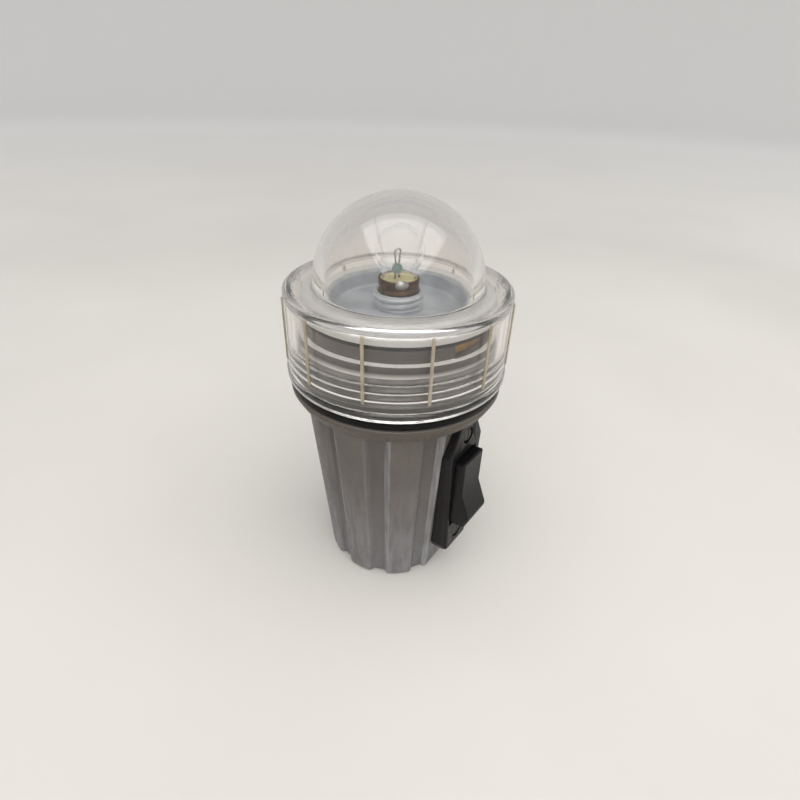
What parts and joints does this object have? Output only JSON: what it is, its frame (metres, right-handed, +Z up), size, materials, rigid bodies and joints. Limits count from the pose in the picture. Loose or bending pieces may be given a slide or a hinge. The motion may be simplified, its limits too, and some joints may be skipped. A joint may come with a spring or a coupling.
{
  "type": "distress marker light",
  "caption": "Hand-held distress marker light: tapered ribbed grey body with a rocker switch, screw-on clear cap with a dome, silver reflector and small screw lamp over battery contacts.",
  "frame": {"origin": "centre of the flat base, on the surface that the light stands on", "axes": "+Z up along the axis of the body and the dome, -Y from the axis to the rocker switch, +X to the right when the switch is faced"},
  "size_m": [0.0538, 0.0546, 0.0997],
  "materials": {
    "body_grey": "moulded, satin, rubbed paler along the ribs",
    "seal_rubber": "matt black",
    "switch_black": "moulded, half gloss",
    "carrier_black": "moulded, matt",
    "steel": "plain, dulled",
    "screw_steel": "darkened",
    "strip_brass": "rolled, tarnished",
    "cell_can": "printed sleeve on a metal can",
    "board_brown": "pressed board, matt",
    "reflector_silver": "pressed sheet, satin, scratched",
    "lamp_brass": "darkened",
    "insulator_black": "glazed",
    "cement_cream": "chalky",
    "lamp_clear": "clear, thin",
    "bead_green": "solid glass bead",
    "solder": "dull, rounded",
    "cap_clear": "clear, moulded, a little yellowed"
  },
  "bodies": {
    "body": {"body_shell": "body_grey", "cap_seal": "seal_rubber", "reflector_washer": "seal_rubber", "switch_base": "switch_black", "switch_pin": "steel", "switch_screws": "screw_steel", "switch_carrier": "carrier_black", "switch_terminals": "strip_brass", "feed_strip": "strip_brass", "return_strip": "strip_brass", "notch_strip": "strip_brass", "base_bridge": "strip_brass", "bridge_spring": "steel", "board_spring": "steel", "cell_button_up": "cell_can", "cell_button_down": "cell_can", "contact_board": "board_brown", "board_screws": "steel", "board_rivets": "strip_brass", "lamp_leaf": "strip_brass"},
    "reflector_unit": {"reflector": "reflector_silver", "lamp_shell": "lamp_brass", "lamp_insulator": "insulator_black", "lamp_tip": "solder", "lamp_cement": "cement_cream", "lamp_glass": "lamp_clear", "lamp_bead": "bead_green", "lamp_leads": "steel", "lamp_filament": "steel", "lamp_solder": "solder"},
    "cap": {"lens_cap": "cap_clear"},
    "rocker": {"switch_rocker": "switch_black"}
  },
  "joints": [
    {"name": "head_lift", "type": "slide", "parent": "body", "child": "reflector_unit", "axis": [0, 0, 1], "range_m": [0, 0.008]},
    {"name": "cap_turn", "type": "hinge", "parent": "reflector_unit", "child": "cap", "pos_m": [0, 0, 0.07], "axis": [0, 0, 1], "range_deg": [0, 1440.1]},
    {"name": "rocker_tilt", "type": "hinge", "parent": "body", "child": "rocker", "pos_m": [0, -0.0206, 0.0302], "axis": [1, 0, 0], "range_deg": [0, 15]}
  ],
  "couplings": [
    {"joint": "cap_turn", "follows": "head_lift", "rad_per_m": 3141.6}
  ]
}
